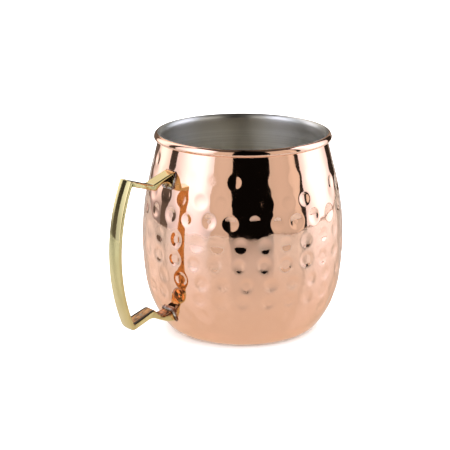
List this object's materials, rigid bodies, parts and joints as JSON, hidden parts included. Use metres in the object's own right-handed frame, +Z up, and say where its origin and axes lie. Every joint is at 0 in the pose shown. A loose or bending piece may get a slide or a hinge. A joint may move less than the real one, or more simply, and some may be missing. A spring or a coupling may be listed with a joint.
{
  "type": "barrel mug",
  "caption": "Barrel-shaped metal mug: hammered copper outside, brushed steel lining, rolled rim, and a kinked brass bracket handle brazed to the side.",
  "frame": {"origin": "centre of the flat base, on the mug's axis, at the surface that it stands on", "axes": "+Z up along the mug's axis; +X from the axis through the middle of the handle; +Y completes a right-handed frame"},
  "size_m": [0.1231, 0.0962, 0.095],
  "materials": {
    "hammered_copper": "polished copper, hammered all over in a grid of shallow dimples",
    "brushed_stainless": "satin, brushed round the mug's axis",
    "satin_brass": "satin, lightly polished",
    "braze_metal": "dull silvery filler metal"
  },
  "bodies": {
    "root": {"outer_shell": "hammered_copper", "inner_liner": "brushed_stainless", "handle": "satin_brass", "upper_braze": "braze_metal", "lower_braze": "braze_metal"}
  },
  "joints": []
}
